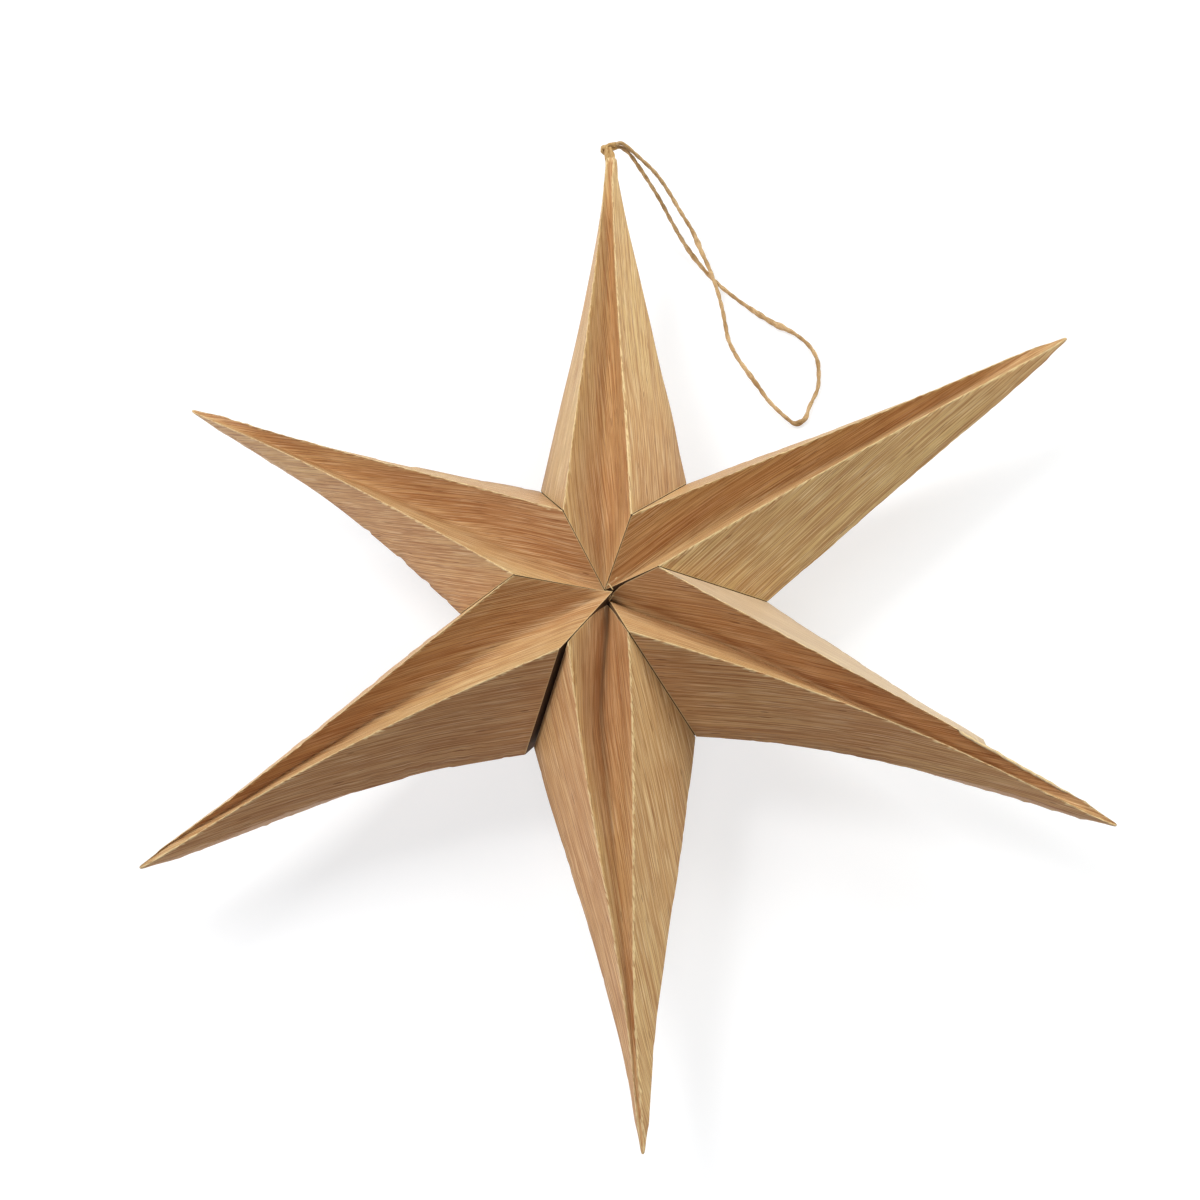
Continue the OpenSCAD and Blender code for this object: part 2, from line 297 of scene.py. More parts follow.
# the sheet each arm is folded from; places along the arm are shares of its length
panels = ["front", "left", "back", "right"]
paper = {
    "ridgeRows": [0, 0.22, 0.6, 1.4],  # mm from a ridge fold, rows that round it
    "ridgeRowCap": [0, 0.06, 0.16, 0.3],  # the same as a share of a narrow flank
    "flankRows": [0.44, 0.58, 0.72, 0.86, 1.0],
    "hubRows": [0, 0.0022, 0.006, 0.012],  # rows that round the edge at the joint
    "stations": 96,
    "stationCurve": 1.15,  # above 1 sets the rows closer near the hub
    "foldRound": 0.14,  # mm taken off a ridge
    "edgeRound": 0.04,  # mm taken off the edge of a glued face
    "wave": 0.45,  # mm, slow buckling of the flat panels
    "waveLength": 24,  # mm
    "waveEnds": (0.12, 0.15),  # dies out at the hub and the tip
    "waveRows": 4,  # and within so many rows of a ridge
    "fray": 0.4,  # mm, broken fibres along a ridge
    "frayLength": 2.0,  # mm
    "frayRows": 2,
    "frayEnd": 0.1,
    "nick": [0, 0.1, 0.12, 0.12, 0.3, 0.38],  # mm, torn bites along each arm's side creases
    "nickLength": 4,  # mm
    "nickRows": 2,
    "nickEdge": (0.05, 0.12),  # where the pattern begins to tear, and how soon it is through
    "nickEnds": (0.1, 0.2),
    "bites": {2: {"panel": "left", "start": 0.655, "end": 0.95, "depth": 0.9, "ends": (0.008, 0.1)}},
    "tipRows": [0.985, 0.99, 0.994, 0.9975, 1],  # rows that round the pressed tip
    "tipRound": [1, 0.98, 0.93, 0.8, 0.5],
    "tipTaper": [1.3, 0.42, 0.42, 0.42, 0.42, 0.42],  # how narrow each pressed tip gets
    "tipShift": [-0.5, 0, 0, 0, 0, 0],  # mm to the left of the arm
    "taperFrom": 0.93,
    "pressFrom": 0.76,  # from here on the groove is pressed shut
    "pressShut": 0.85,
    "pressHaste": 1.2,
    "seeds": {"wave": 1, "fray": 9, "nick": 21, "grain": 40},
    "seedStep": (7.3, 3.1, 5.7),  # keeps one seed's pattern clear of the next
}

# the last arm was pulled over the hub when the star was closed; torn slivers stand up there, in mm
hub = {
    "overArm": 4,
    "overTip": (3.4, -0.6, 42.4),
    "overRun": 0.03,  # share of the arm's length that is pulled along
    "slivers": {
        4: [[(3.4, -1.5, 41.9), (2.8, -2.1, 41.3), (2.1, -2.8, 40.9)],
            [(2.6, -1.3, 41.6), (2.2, -1.9, 41.2), (1.8, -2.3, 41.0)]],
        5: [[(1.4, 1.6, 41.2), (2.2, 1.7, 41.9), (2.8, 0.9, 42.4), (3.5, -0.2, 42.6)]],
        1: [[(4.3, 2.4, 43.5), (4.9, 2.9, 43.8)]],
    },
    "sliverRadius": 0.26,
    "sliverTaper": 0.3,  # share of the section left at the end
    "sliverStep": 0.2,
    "sliverSides": 6,
}

# veneer grain on each arm, degrees to the left of the valley, or away from the ridge on the sides
grain = {
    "groove": [8, 6, 15, 6, -19, 16],
    "leftSide": [-12, -14, 6, 17, -15, 22],
    "rightSide": [-2, -14, -16, -12, 12, -14],
    "leftShade": [0, 0, -0.5, 0, 0.7, 0.6],  # painted shade: redder and darker on sides turned from the lamps; below nought paler, a painted sheen
    "rightShade": [0, 0, 0.8, 0.7, 0, 0],
    "backShade": [0.3] * armCount,
    "redShade": [-1, 0.9, 0.6, 0.8, -0.6, -0.8],  # painted shade: redder along the groove's shaded flank, where light bounces between the flanks; left is positive
    "warmth": [-0.02, -0.04, 0.1, 0.1, 0.06, 0.1],  # how much of the arm is rosy
    "leaf": 400,  # mm, the veneer leaf that panels are cut from
    "clear": 20,  # mm, too far from a cut edge for its lip to show
}


def flankShares(ridge, fold):
    length = np.linalg.norm(ridge - fold)
    near = [min(d / length, cap) for d, cap in zip(paper["ridgeRows"], paper["ridgeRowCap"])]
    return near + paper["flankRows"]


def panelColumns(arm, panel, u):
    # points across one panel at one station, from one ridge to the other
    halves = []
    if panel in ("front", "back"):
        up = 1 if panel == "front" else -1
        for v in (-up, up):
            shares = flankShares(groovePoint(arm, up, u, v), groovePoint(arm, up, u, 0))
            halves.append([groovePoint(arm, up, u, v * (1 - s)) for s in shares])
    else:
        side = -1 if panel == "left" else 1
        crease = creasePoint(arm, side, u)
        for up in (-side, side):
            ridge = groovePoint(arm, up, u, -side)
            halves.append([mixed(ridge, crease, s) for s in flankShares(ridge, crease)])
    return np.array(halves[0] + halves[1][-2::-1])


def stationList():
    near, count = paper["hubRows"], paper["stations"]
    run = [near[-1] + (1 - near[-1]) * ((k + 1) / count) ** paper["stationCurve"] for k in range(count)]
    return near + [u for u in run if u < paper["tipRows"][0]] + paper["tipRows"]


def wavy(point, size, seed):
    return noise.noise(Vector(point) / size + Vector([seed * step for step in paper["seedStep"]]))


def paperMove(arm, panel, u, point, fromRidge, fromCrease):
    # how far a point of the sheet stands out from its even fold, in mm
    seeds = paper["seeds"]
    atHub, atTip = paper["waveEnds"]
    hold = eased(u / atHub) * eased((1 - u) / atTip) * eased(fromRidge / paper["waveRows"])
    move = paper["wave"] * hold * wavy(point, paper["waveLength"], arm + seeds["wave"])
    if fromRidge < paper["frayRows"]:
        fray = wavy(point, paper["frayLength"], arm + seeds["fray"])
        move += paper["fray"] * fray * eased((1 - u) / paper["frayEnd"])
    if fromRidge == 0:
        move -= paper["foldRound"]
    elif panel in ("left", "right") and fromCrease < paper["nickRows"]:
        start, slope = paper["nickEdge"]
        torn = eased((wavy(point, paper["nickLength"], arm + seeds["nick"]) - start) / slope)
        atHub, atTip = paper["nickEnds"]
        move -= paper["nick"][arm] * torn * eased(u / atHub) * eased((1 - u) / atTip)
    bite = paper["bites"].get(arm)
    if fromRidge and bite and bite["panel"] == panel:
        inner, outer = bite["ends"]
        move -= bite["depth"] * eased((u - bite["start"]) / inner) * eased((bite["end"] - u) / outer)
    if u == 0:
        move -= paper["edgeRound"]
    return move


def pressTip(arm, stations, shaped, perPanel):
    for k, u in enumerate(stations):
        late = (u - paper["pressFrom"]) / (1 - paper["pressFrom"])
        shut = paper["pressShut"] * eased(late * paper["pressHaste"])
        size = paper["tipRound"][k - len(stations)] if u >= paper["tipRows"][0] else 1
        near = max(u - paper["taperFrom"], 0) / (1 - paper["taperFrom"])
        size *= mixed(1, paper["tipTaper"][arm], near)
        core = shaped[k].mean(axis=0)
        for panel in ("front", "back"):
            first = panels.index(panel) * (perPanel - 1)
            last = first + perPanel - 1
            level = mixed(shaped[k, first, 2], shaped[k, last, 2], 0.5)
            shaped[k, first + 1:last, 2] = mixed(shaped[k, first + 1:last, 2], level, shut)
        shaped[k] = core + (shaped[k] - core) * size + near * paper["tipShift"][arm] * leftOf(arm)


def pullOverHub(arm, stations, shaped, edge):
    # the front's edge beside the closing seam, drawn over the hub and less so towards its ridge
    half = len(edge) // 2
    pull = np.array(hub["overTip"]) - hubPoint(arm, star["hubHeight"])
    for j in range(half, len(edge) - 1):
        far = np.linalg.norm(edge[j] - edge[half]) / np.linalg.norm(edge[-1] - edge[half])
        for k, u in enumerate(stations):
            shaped[k, j] += pull * (1 - far) * max(1 - u / hub["overRun"], 0)


def shapeArm(arm):
    stations = stationList()
    grids = {p: np.array([panelColumns(arm, p, u) for u in stations]) for p in panels}
    perPanel = grids["front"].shape[1]
    half = perPanel // 2
    shaped = np.concatenate([grids[p][:, :-1] for p in panels], axis=1)
    upward, leftward = np.array([0, 0, 1.0]), leftOf(arm)
    outward = {"front": upward, "back": -upward, "left": leftward, "right": -leftward}
    for number, p in enumerate(panels):
        for j in range(perPanel - 1):
            push = outward[p] if j else outward[p] + outward[panels[number - 1]]
            push = push / np.linalg.norm(push)
            column = number * (perPanel - 1) + j
            fromRidge = min(j, perPanel - 1 - j)
            for k, u in enumerate(stations):
                point = shaped[k, column]
                shaped[k, column] = point + push * paperMove(arm, p, u, point, fromRidge, abs(j - half))
    pressTip(arm, stations, shaped, perPanel)
    if arm == hub["overArm"]:
        pullOverHub(arm, stations, shaped, grids["front"][0])
    return grids, shaped, perPanel, half


def unrolled(points, tip, home):
    # flatten a panel about the arm's tip, where its folds run together
    spokes = points - tip
    length = np.maximum(np.linalg.norm(spokes, axis=2), 1e-6)
    unit = spokes / length[:, :, None]
    step = np.arccos(np.clip((unit[:, 1:] * unit[:, :-1]).sum(2), -1, 1))
    angle = np.concatenate([np.zeros((len(points), 1)), np.cumsum(step, axis=1)], axis=1)
    return length, angle - angle[:, home][:, None], angle


def panelGrain(arm, panel):
    if panel in ("front", "back"):
        return grain["groove"][arm]
    return grain[panel + "Side"][arm]


# painted shade weights: across the front they rise towards the groove's shaded flank; each side panel has one
# weight, below nought for painted sheen
def panelShade(arm, panel, count):
    if panel == "front":
        return np.clip(0.5 + np.linspace(-1, 1, count) * grain["redShade"][arm], 0, 1)
    return np.full(count, grain[panel + "Shade"][arm])


def smoothLine(points, step, samples=24):
    points = np.array(points, float)
    padded = np.concatenate([[2 * points[0] - points[1]], points, [2 * points[-1] - points[-2]]])
    dense = []
    for a, b, c, d in zip(padded, padded[1:], padded[2:], padded[3:]):
        for t in np.linspace(0, 1, samples, endpoint=False):
            dense.append(0.5 * (2 * b + (c - a) * t + (2 * a - 5 * b + 4 * c - d) * t * t
                                + (3 * b - a - 3 * c + d) * t ** 3))
    dense = np.array(dense + [points[-1]])
    run = np.concatenate([[0], np.cumsum(np.linalg.norm(np.diff(dense, axis=0), axis=1))])
    count = max(int(run[-1] / step), 4)
    places = np.linspace(0, run[-1], count + 1)
    return np.stack([np.interp(places, run, dense[:, k]) for k in range(3)], axis=1), places


def carriedFrames(line):
    headings = np.gradient(line, axis=0)
    headings /= np.linalg.norm(headings, axis=1)[:, None]
    across = np.cross(headings[0], [0, 0, 1.0])
    if np.linalg.norm(across) < 0.1:  # starts nearly upright
        across = np.cross(headings[0], [1.0, 0, 0])
    frames = []
    for heading in headings:
        across = across - heading * np.dot(across, heading)
        across /= np.linalg.norm(across)
        frames.append((across, np.cross(heading, across)))
    return headings, frames


def sweep(mesh, centres, radii, frames, sides, runMap, places):
    rings = []
    for centre, radius, (a, b) in zip(centres, radii, frames):
        rings.append([mesh.verts.new((centre + radius * (math.cos(t) * a + math.sin(t) * b)) * mm)
                      for t in [2 * math.pi * k / sides for k in range(sides)]])
    for k in range(len(rings) - 1):
        for s in range(sides):
            n = (s + 1) % sides
            face = mesh.faces.new((rings[k][s], rings[k][n], rings[k + 1][n], rings[k + 1][s]))
            face.smooth = True
            for loop, (row, turn) in zip(face.loops, ((k, s), (k, s + 1), (k + 1, s + 1), (k + 1, s))):
                loop[runMap].uv = (places[row], turn / sides)
    for ring in (rings[0][::-1], rings[-1]):
        mesh.faces.new(ring)


# dried glue fills each joint but the closing one, a little way in from its edges
glue = {
    "inset": 0.98,  # share of the face
    "fill": [0.85, 0.85, 3.0, 0, 0.85, 0.85],  # shares of the glue line; the third joint gapes at the hub
    "bite": 0.1,  # share of the fill that soaks into the face it was spread on
}


def addGlue(mesh, arm, outline):
    core = outline.mean(axis=0)
    sheet = core + (outline - core) * glue["inset"]
    outward = -faceNormal(arm, 1) * star["glueLine"] * glue["fill"][arm]
    low = [mesh.verts.new((p - glue["bite"] * outward) * mm) for p in sheet]
    high = [mesh.verts.new((p + outward) * mm) for p in sheet]
    sides = [(low[k], low[k + 1], high[k + 1], high[k]) for k in range(-1, len(low) - 1)]
    # the glue takes the dark kraft material, painted shade in the joint
    for corners in [high, low[::-1]] + sides:
        mesh.faces.new(corners).material_index = 1


def buildArm(arm, material, backing):
    grids, shaped, perPanel, half = shapeArm(arm)
    rows, ringCount = shaped.shape[:2]
    mesh = bmesh.new()
    grainMap = mesh.loops.layers.uv.new("grain")
    foldMap = mesh.loops.layers.uv.new("fold")
    edgeAndShadeMap = mesh.loops.layers.uv.new("edge")
    verts = [[mesh.verts.new(shaped[k, j] * mm) for j in range(ringCount)] for k in range(rows)]
    luck = random.Random(arm + paper["seeds"]["grain"])
    for number, p in enumerate(panels):
        home = {"left": 0, "right": perPanel - 1}.get(p, half)
        length, angle, fromFirst = unrolled(grids[p], tipPoint(arm, 0, 0), home)
        if p in ("back", "right"):
            angle = -angle
        lean = math.radians(panelGrain(arm, p))
        along, across = -length * np.cos(angle), length * np.sin(angle)
        shift = (luck.uniform(0, grain["leaf"]), luck.uniform(0, grain["leaf"]))
        grainX = along * math.cos(lean) + across * math.sin(lean) + shift[0]
        grainY = across * math.cos(lean) - along * math.sin(lean) + shift[1]
        nearRidge = np.minimum(fromFirst, fromFirst[:, -1][:, None] - fromFirst)
        ridgeGap = length * np.sin(np.clip(nearRidge, 0, math.pi / 2))
        edgeGap = np.linalg.norm(grids[p] - grids[p][0][None], axis=2)
        # painted shade and sheen weights, carried to the material in the edge map's second place
        shadeWeights = panelShade(arm, p, perPanel)
        for k in range(rows - 1):
            for j in range(perPanel - 1):
                column = number * (perPanel - 1) + j
                after = (column + 1) % ringCount
                corners = [(k, j, column), (k, j + 1, after), (k + 1, j + 1, after), (k + 1, j, column)]
                face = mesh.faces.new([verts[r][c] for r, _, c in corners])
                face.smooth = True
                for loop, (r, c, _) in zip(face.loops, corners):
                    loop[grainMap].uv = (grainX[r, c], grainY[r, c])
                    loop[foldMap].uv = (along[r, c] + shift[0], ridgeGap[r, c])
                    loop[edgeAndShadeMap].uv = (edgeGap[r, c], shadeWeights[c])
    frontMid, backMid = half, 2 * (perPanel - 1) + half
    leftLoop = list(range(frontMid, backMid + 1))
    rightLoop = list(range(backMid, ringCount)) + list(range(0, frontMid + 1))
    # the glued faces take the dark kraft material, painted shade in the joints
    for loop in (leftLoop, rightLoop):
        face = mesh.faces.new([mesh.verts.new(verts[0][j].co) for j in loop])
        face.material_index = 1
        for corner in face.loops:
            place = corner.vert.co / mm
            corner[grainMap].uv = (place.z, place.x + place.y)
    if glue["fill"][arm]:
        addGlue(mesh, arm, shaped[0, rightLoop])
    for points in hub["slivers"].get(arm, []):
        line, places = smoothLine(points, hub["sliverStep"])
        radii = hub["sliverRadius"] * np.sqrt(np.linspace(1, hub["sliverTaper"], len(line)))
        sweep(mesh, line, radii, carriedFrames(line)[1], hub["sliverSides"], grainMap, places)
    cap = mesh.faces.new([mesh.verts.new(v.co) for v in verts[-1]])
    for corner in cap.loops:
        corner[edgeAndShadeMap].uv = (grain["clear"], 0)
    bmesh.ops.recalc_face_normals(mesh, faces=mesh.faces)
    piece = addPiece(mesh, armNames[arm] + "_paper", material, backing)
    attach(piece, "root")
    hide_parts(armNames[arm])


# oak veneer laid on paper: straight open grain with short pores, matt, fibres torn pale on the folds
veneer = {
    "ground": "#d3b37d",
    "layers": [  # run along and gap across the grain in mm; from low to high the layer comes in
        {"what": "rosy drift", "run": 90, "gap": 42, "detail": 1, "low": 0.3, "high": 0.72,
         "share": 0.5, "colour": "#c6966a", "depth": 0},
        {"what": "broad bands", "run": 140, "gap": 3.6, "detail": 2, "low": 0.35, "high": 0.7,
         "share": 0.42, "colour": "#b98a58", "depth": 0},
        {"what": "growth lines", "run": 40, "gap": 0.3, "detail": 1, "low": 0.45, "high": 0.59,
         "share": 0.8, "colour": "#a5754a", "depth": 0.5},
        {"what": "pale fibres", "run": 16, "gap": 0.32, "detail": 1, "low": 0.56, "high": 0.7,
         "share": 0.45, "colour": "#efd8ae", "depth": 0},
        {"what": "pores", "run": 9, "gap": 0.28, "detail": 1, "low": 0.58, "high": 0.72,
         "share": 0.42, "colour": "#8a5f37", "depth": 1},
        {"what": "dark flecks", "run": 7, "gap": 0.6, "detail": 0, "low": 0.84, "high": 0.9,
         "share": 0.6, "colour": "#6d4222", "depth": 1},
    ],
    "broken": 0.6,  # how ragged the layers are
    "redShade": "#ffede6",  # painted shade: tints the ground on shaded groove flanks and on side panels turned from the lamps
    # painted sheen: the paler tone of a side that faces the light
    "paleSheen": "#cfbfa9",
    "torn": "#e6cb98",
    "tornRun": 3.2,  # mm along the grain, splinters where it crosses a fold
    "tornGap": 0.5,
    "tornReach": 1.0,  # mm from the fold
    "tornBlur": 0.25,  # mm
    "tornLow": 0.38,
    "tornHigh": 0.72,
    "tornShare": 0.85,
    "lip": "#dfc28e",
    "lipReach": 0.5,  # mm from the cut edge
    "lipFull": 0.12,  # mm
    "lipShare": 0.6,
    "poreDepth": 0.12,  # mm
    "bump": 0.5,
    "roughness": 0.5,
    "ior": 1.5,
    "sheen": 0.2,  # open, unsealed pores reflect little
}


def veneerMaterial(name, look, warmth):
    material, tree = newMaterial(name)
    grainUv, foldUv, edgeAndShadeUv = [addNode(tree, "ShaderNodeUVMap", uv_map=m).outputs["UV"]
                               for m in ("grain", "fold", "edge")]
    colour, height = None, None
    for layer in look["layers"]:
        drift = warmth if layer["what"] == "rosy drift" else 0
        place = addNode(tree, "ShaderNodeMapping", {"Scale": (1 / layer["run"], 1 / layer["gap"], 1)},
                        {"Vector": grainUv})
        spots = addNode(tree, "ShaderNodeTexNoise",
                        {"Scale": 1, "Detail": layer["detail"], "Roughness": look["broken"]},
                        {"Vector": place.outputs["Vector"]}, noise_dimensions="2D")
        mask = addNode(tree, "ShaderNodeMapRange",
                       {"From Min": layer["low"] - drift, "From Max": layer["high"] - drift,
                        "To Max": layer["share"]},
                       {"Value": spots.outputs["Fac"]}, interpolation_type="SMOOTHSTEP")
        tint = addNode(tree, "ShaderNodeMix", {6: toLinear(look["ground"]), 7: toLinear(layer["colour"])},
                       {0: mask.outputs["Result"]}, data_type="RGBA")
        if colour:
            tree.links.new(colour, tint.inputs[6])
        colour = tint.outputs[2]
        if layer["depth"]:
            sunk = addNode(tree, "ShaderNodeMath", {1: -layer["depth"], 2: 0},
                           {0: mask.outputs["Result"]}, operation="MULTIPLY_ADD")
            if height:
                tree.links.new(height, sunk.inputs[2])
            height = sunk.outputs[0]
    # painted shade: redder and darker where the weight is above nought; painted sheen: paler where it is
    # below
    edgeGap, shadeWeight, _ = addNode(tree, "ShaderNodeSeparateXYZ", links={"Vector": edgeAndShadeUv}).outputs
    redShaded = addNode(tree, "ShaderNodeMix", {7: toLinear(look["redShade"])}, {0: shadeWeight, 6: colour},
                       data_type="RGBA", blend_type="MULTIPLY")
    paler = addNode(tree, "ShaderNodeMath", {1: -1}, {0: shadeWeight}, operation="MULTIPLY", use_clamp=True)
    paleSheen = addNode(tree, "ShaderNodeMix", {7: toLinear(look["paleSheen"])},
                      {0: paler.outputs[0], 6: redShaded.outputs[2]}, data_type="RGBA")
    # splinters torn pale along each ridge, slanting with the grain
    foldGap = addNode(tree, "ShaderNodeSeparateXYZ", links={"Vector": foldUv}).outputs["Y"]
    slant = addNode(tree, "ShaderNodeMapping", {"Scale": (1 / look["tornRun"], 1 / look["tornGap"], 1)},
                    {"Vector": grainUv})
    splinters = addNode(tree, "ShaderNodeTexNoise", {"Scale": 1, "Detail": 2},
                        {"Vector": slant.outputs["Vector"]}, noise_dimensions="2D")
    reach = addNode(tree, "ShaderNodeMapRange",
                    {"From Min": look["tornLow"], "From Max": look["tornHigh"], "To Max": look["tornReach"]},
                    {"Value": splinters.outputs["Fac"]})
    inside = addNode(tree, "ShaderNodeMath", links={0: reach.outputs["Result"], 1: foldGap},
                     operation="SUBTRACT")
    torn = addNode(tree, "ShaderNodeMapRange",
                   {"From Min": -look["tornBlur"], "From Max": look["tornBlur"], "To Max": look["tornShare"]},
                   {"Value": inside.outputs[0]}, interpolation_type="SMOOTHSTEP")
    worn = addNode(tree, "ShaderNodeMix", {7: toLinear(look["torn"])},
                   {0: torn.outputs["Result"], 6: paleSheen.outputs[2]}, data_type="RGBA")
    # pale lip where the sheet is cut along a glued face
    lip = addNode(tree, "ShaderNodeMapRange",
                  {"From Min": look["lipReach"], "From Max": look["lipFull"], "To Max": look["lipShare"]},
                  {"Value": edgeGap}, interpolation_type="SMOOTHSTEP")
    finished = addNode(tree, "ShaderNodeMix", {7: toLinear(look["lip"])},
                       {0: lip.outputs["Result"], 6: worn.outputs[2]}, data_type="RGBA")
    bump = addNode(tree, "ShaderNodeBump", {"Strength": look["bump"], "Distance": look["poreDepth"] * mm},
                   {"Height": height})
    surface = addNode(tree, "ShaderNodeBsdfPrincipled",
                      {"Roughness": look["roughness"], "IOR": look["ior"],
                       "Specular IOR Level": look["sheen"]},
                      {"Base Color": finished.outputs[2], "Normal": bump.outputs["Normal"]})
    addNode(tree, "ShaderNodeOutputMaterial", links={"Surface": surface.outputs["BSDF"]})
    return material


# bare kraft backing inside the joints, rough, with darker blots of dried glue; its dark tone is also painted
# shade, standing in for the shade inside the gaps between the arms; the blots are in mm
shadedKraft = {"paper": "#6b4c31", "glue": "#3a2818", "blot": 3, "roughness": 0.7}


def shadedKraftMaterial(look):
    material, tree = newMaterial("kraftBackingPaintedShade")
    uv = addNode(tree, "ShaderNodeUVMap", uv_map="grain")
    blots = addNode(tree, "ShaderNodeTexNoise", {"Scale": 1 / look["blot"], "Detail": 3},
                    {"Vector": uv.outputs["UV"]}, noise_dimensions="2D")
    tone = addNode(tree, "ShaderNodeMix", {6: toLinear(look["paper"]), 7: toLinear(look["glue"])},
                   {0: blots.outputs["Fac"]}, data_type="RGBA")
    surface = addNode(tree, "ShaderNodeBsdfPrincipled", {"Roughness": look["roughness"]},
                      {"Base Color": tone.outputs[2]})
    addNode(tree, "ShaderNodeOutputMaterial", links={"Surface": surface.outputs["BSDF"]})
    return material


backing = shadedKraftMaterial(shadedKraft)
for arm, name in enumerate(armNames):
    buildArm(arm, veneerMaterial("oakVeneerPaper_" + name, veneer, grain["warmth"][arm]), backing)
print("arms folded:", armCount)

# white polyethylene foam pad, hidden in the closing joint: matt, with fine closed cells, in mm
foam = {"colour": "#eceae4", "shade": "#d6d2c8", "cell": 0.5, "cellDepth": 0.1, "bump": 0.4,
        "roughness": 0.85}


def foamMaterial(look):
    material, tree = newMaterial("polyethyleneFoam")
    place = addNode(tree, "ShaderNodeTexCoord")
    cells = addNode(tree, "ShaderNodeTexVoronoi", {"Scale": 1 / (look["cell"] * mm)},
                    {"Vector": place.outputs["Object"]})
    tone = addNode(tree, "ShaderNodeMix", {6: toLinear(look["colour"]), 7: toLinear(look["shade"])},
                   {0: cells.outputs["Distance"]}, data_type="RGBA")
    bump = addNode(tree, "ShaderNodeBump", {"Strength": look["bump"], "Distance": look["cellDepth"] * mm},
                   {"Height": cells.outputs["Distance"]})
    surface = addNode(tree, "ShaderNodeBsdfPrincipled", {"Roughness": look["roughness"]},
                      {"Base Color": tone.outputs[2], "Normal": bump.outputs["Normal"]})
    addNode(tree, "ShaderNodeOutputMaterial", links={"Surface": surface.outputs["BSDF"]})
    return material


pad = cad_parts["closing_pad"]
pad.data.materials.clear()
pad.data.materials.append(foamMaterial(foam))
print("pad dressed")

# jute twine, two plies that lie close, in mm
twine = {
    "diameter": 1.4,
    "plyRadius": 0.5,
    "plyOffset": 0.15,
    "plySeed": 9,
    "pitch": 7.5,
    "step": 0.4,
    "sides": 8,
    "uneven": [(0.16, 6, 0), (0.1, 1.3, 4)],  # share of the thickness, run along the twine, seed
    "lumps": [  # place on the table, reach along the twine, gain in thickness
        (46.5, 101.2, 3.2, 0.75), (40.5, 105.8, 3.5, 0.45), (52.2, 67.6, 2.2, 0.5),
        (37.5, 84.8, 4.0, 0.25), (22.0, 131.5, 2.5, 0.3), (20.5, 128.0, 4.0, 0.25),
    ],
    "crossGap": 0.3,
    "exitGap": 0.15,  # from the knot's side
    "exitShare": 0.56,  # of the diameter, above and below the knot's middle
    "hairs": 120,
    "hairLength": (0.8, 2.2),
    "hairLean": (0.6, 1.6),  # along the twine
    "hairRise": (0.25, 0.8),  # away from it
    "hairCurl": 0.35,
    "hairRoot": 0.38,  # of the diameter
    "hairEnds": 3,  # steps at each end without hair
    "hairStops": (0, 0.34, 0.67, 1),
    "hairTaper": (1, 0.9, 0.7, 0.35),
    "hairRadius": 0.03,
    "hairSides": 3,
    "hairReach": 2.4,  # from the middle of the twine
    "hairFloor": 0.05,  # above the table
    "seeds": {"plies": 3, "hairs": 11},
}

# knot past the tip: two strands rise as a neck and bend away, their ends are wound into a knob, in mm
knot = {
    "reach": 4.2,
    "width": 3.8,
    "knob": (-1.6, -1.15, 0.2),  # from the knot's middle
    "knobRadius": 0.62,
    "knobDepth": 0.3,  # share of the radius
    "knobStart": 0.55,
    "knobClimb": 0.085,  # for each radian
    "turns": 2.2,
    "points": 24,
    "hairs": 6,
    "seeds": {"plies": 20, "hairs": 17},
}
lie = twine["diameter"] / 2
over = lie + twine["diameter"] + twine["crossGap"]
knotMiddle = tipPoint(0, 0, 0) + knot["reach"] * headingOf(0)
exitX = knotMiddle[0] + knot["width"] / 2 + twine["exitGap"]
exitUp = middle + twine["diameter"] * twine["exitShare"]
exitDown = middle - twine["diameter"] * twine["exitShare"]

# the CAD source's route, but for the upper strand, which hangs lower near the knot
route = [
    (exitX, knotMiddle[1], exitUp), (exitX + 2, knotMiddle[1] + 0.2, exitUp - 0.2),
    (5.5, 152.7, 25.2), (8, 151, 22.6), (11, 149, 18.8), (14, 146, 13.5), (17.5, 140.5, 8),
    (20.5, 135.5, 5), (23, 129, 3.5), (25.5, 122.5, over), (27.5, 116, over), (29, 109.5, 1.5),
    (30, 103, lie), (31, 97.5, lie), (33.5, 91.5, lie), (37, 85.5, lie), (40, 80.5, lie),
    (43, 75.5, lie), (48.5, 69, lie), (51, 67.5, lie), (53.5, 69, lie),
    (55, 73, lie), (57.5, 78.5, lie), (58, 84, lie), (57.5, 89, lie), (55, 94, lie),
    (50.5, 98.5, lie), (44.5, 102.5, lie), (38.5, 107.5, lie), (32.5, 113, lie),
    (26.5, 119.5, lie), (21.5, 126.5, 0.8), (17.5, 133, 2), (14.5, 138.5, 5), (12, 143, 9.5),
    (9.5, 146.5, 15), (7, 149.5, 20), (4.5, 152.5, 24),
    (exitX + 1.6, knotMiddle[1] - 0.2, exitDown - 0.3), (exitX, knotMiddle[1], exitDown),
]


def lumpGain(point):
    gain = 0
    for x, y, reach, more in twine["lumps"]:
        gain += more * math.exp(-((point[0] - x) ** 2 + (point[1] - y) ** 2) / reach ** 2)
    return gain


def layTwine(mesh, points, look, runMap, seed, swell=None, thick=1.0):
    line, places = smoothLine(points, look["step"])
    headings, frames = carriedFrames(line)
    for ply in (0, 1):
        centres, radii = [], []
        for k, place in enumerate(places):
            turn = 2 * math.pi * place / look["pitch"] + math.pi * ply
            a, b = frames[k]
            gain = thick * (1 + (swell(line[k]) if swell else 0))
            for more, run, shift in look["uneven"]:
                gain *= 1 + more * noise.noise(Vector((place / run, seed + shift, ply * look["plySeed"])))
            centres.append(line[k] + look["plyOffset"] * gain * (math.cos(turn) * a + math.sin(turn) * b))
            radii.append(look["plyRadius"] * gain)
        sweep(mesh, centres, radii, frames, look["sides"], runMap, places)
    return line, headings, frames


